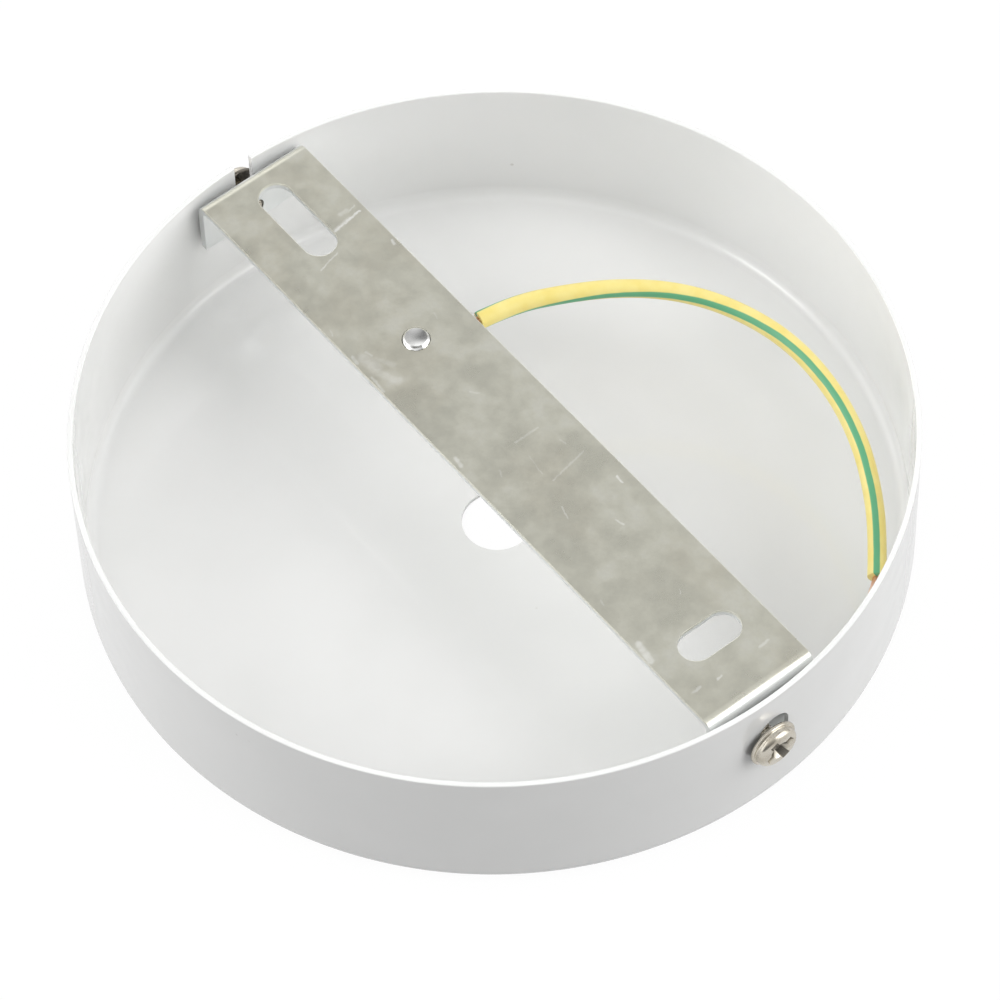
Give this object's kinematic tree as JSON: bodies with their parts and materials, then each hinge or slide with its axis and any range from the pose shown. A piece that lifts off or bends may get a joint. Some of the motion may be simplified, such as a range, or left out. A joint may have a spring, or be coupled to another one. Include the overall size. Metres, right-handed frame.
{
  "type": "electrical ceiling rose",
  "caption": "Shallow white metal ceiling rose cup with a cable hole, held by side screws on a folded slotted bracket that carries a green and yellow earth wire.",
  "frame": {"origin": "centre of the cup's flat outside face, on the axis of the cable hole", "axes": "+Z from the flat face to the open side that meets the ceiling, +X along the bracket to the side screw in the closed slot of the wall, +Y to the side where the earth wire lies"},
  "size_m": [0.1254, 0.12, 0.025],
  "materials": {
    "white_paint": "gloss",
    "zinc_plate": "satin",
    "nickel_plate": "polished",
    "zinc_bright": "polished",
    "tin_plate": "satin",
    "wire_pvc": "satin",
    "bare_copper": "polished"
  },
  "bodies": {
    "rose": {"cup": "white_paint", "bracket": "zinc_plate", "earth_screw": "zinc_bright", "earth_washer": "zinc_bright", "earth_terminal": "tin_plate", "earth_wire": "wire_pvc", "earth_wire_copper": "bare_copper"},
    "side_screw_1": {"side_screw_1": "nickel_plate"},
    "side_screw_2": {"side_screw_2": "nickel_plate"}
  },
  "joints": [
    {"name": "side_screw_1_turn", "type": "hinge", "parent": "rose", "child": "side_screw_1", "pos_m": [0.0606, 0, 0.0156], "axis": [1, 0, 0], "continuous": true},
    {"name": "side_screw_2_turn", "type": "hinge", "parent": "rose", "child": "side_screw_2", "pos_m": [-0.061, 0.0006, 0.0168], "axis": [-1, 0, 0], "continuous": true}
  ]
}
